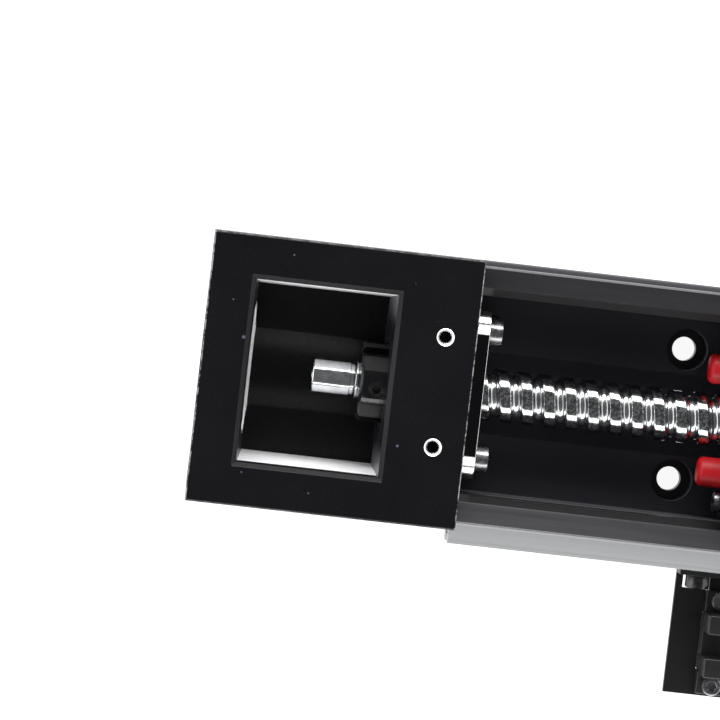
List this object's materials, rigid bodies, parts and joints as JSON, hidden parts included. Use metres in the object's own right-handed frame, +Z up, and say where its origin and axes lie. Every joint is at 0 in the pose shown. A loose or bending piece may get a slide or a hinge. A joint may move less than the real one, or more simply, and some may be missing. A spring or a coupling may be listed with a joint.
{
  "type": "ball screw linear module",
  "caption": "Compact motorless linear module: a U-section rail with an embedded carriage driven by a ball screw, a motor housing with a coupling window and limit sensors along one side.",
  "frame": {"origin": "centre of the guide rail's bottom face, which is the mounting face", "axes": "+X from the motor end to the far end, +Y away from the sensor side, +Z up out of the open side of the rail"},
  "size_m": [0.271, 0.0933, 0.033],
  "materials": {
    "rail_black": "black plated ground steel, satin",
    "housing_black": "black anodised, bare machined bevels",
    "screw_steel": "bright rolled and polished",
    "bearing_steel": "ground and polished",
    "ball_steel": "mirror polished",
    "carriage_steel": "ground steel",
    "nickel_plate": "bright nickel plated",
    "black_oxide": "glossy black oxide",
    "fastener_steel": "oiled alloy steel",
    "brass": "machined brass",
    "seal_rubber": "black nitrile rubber",
    "bumper_red": "glossy red polyurethane",
    "black_nylon": "moulded black nylon",
    "sensor_black": "moulded black plastic",
    "bracket_black": "black coated sheet steel",
    "flag_zinc": "zinc plated sheet steel",
    "natural_aluminium": "extruded, natural anodised"
  },
  "bodies": {
    "base": {"base_rail": "rail_black", "motor_housing": "housing_black", "housing_screws": "black_oxide", "bearing_retainer_plate": "nickel_plate", "retainer_screws": "fastener_steel", "front_bearing_outer_rings": "bearing_steel", "front_bearing_balls": "ball_steel", "front_bearing_cages": "brass", "screw_seal": "seal_rubber", "end_housing": "housing_black", "end_housing_screws": "black_oxide", "end_bearing_outer_ring": "bearing_steel", "end_bearing_balls": "ball_steel", "sensor_rail": "natural_aluminium", "sensor_rail_screws": "fastener_steel"},
    "screw": {"ball_screw": "screw_steel", "lock_nut": "black_oxide", "lock_nut_set_screws": "black_oxide", "front_bearing_inner_rings": "bearing_steel", "bearing_spacer": "bearing_steel", "end_bearing_inner_ring": "bearing_steel", "end_circlip": "fastener_steel"},
    "carriage": {"carriage_block": "carriage_steel", "ball_nut": "bearing_steel", "nut_balls": "ball_steel", "nut_deflectors": "brass", "nut_screws": "black_oxide", "guide_balls": "ball_steel", "near_end_plate": "black_nylon", "far_end_plate": "black_nylon", "near_wiper": "seal_rubber", "far_wiper": "seal_rubber", "end_plate_screws": "fastener_steel", "bumpers": "bumper_red", "grease_nipple": "brass", "sensor_flag": "flag_zinc", "flag_screws": "fastener_steel"},
    "near_sensor": {"near_sensor_bracket": "bracket_black", "near_limit_sensor": "sensor_black", "near_sensor_screws": "fastener_steel", "near_sensor_nuts": "fastener_steel", "near_clamp_screw": "fastener_steel", "near_slot_nut": "fastener_steel"},
    "far_sensor": {"far_sensor_bracket": "bracket_black", "far_limit_sensor": "sensor_black", "far_sensor_screws": "fastener_steel", "far_sensor_nuts": "fastener_steel", "far_clamp_screw": "fastener_steel", "far_slot_nut": "fastener_steel"}
  },
  "joints": [
    {"name": "carriage_slide", "type": "slide", "parent": "base", "child": "carriage", "axis": [1, 0, 0], "range_m": [-0.0505, 0.0535]},
    {"name": "screw_spin", "type": "hinge", "parent": "base", "child": "screw", "pos_m": [0, 0, 0.0155], "axis": [1, 0, 0], "range_deg": [-3860, 3640]},
    {"name": "near_sensor_slide", "type": "slide", "parent": "base", "child": "near_sensor", "axis": [1, 0, 0], "range_m": [-0.04, 0.03]},
    {"name": "far_sensor_slide", "type": "slide", "parent": "base", "child": "far_sensor", "axis": [1, 0, 0], "range_m": [-0.03, 0.02]}
  ],
  "couplings": [
    {"joint": "screw_spin", "follows": "carriage_slide", "rad_per_m": -1256.6}
  ]
}
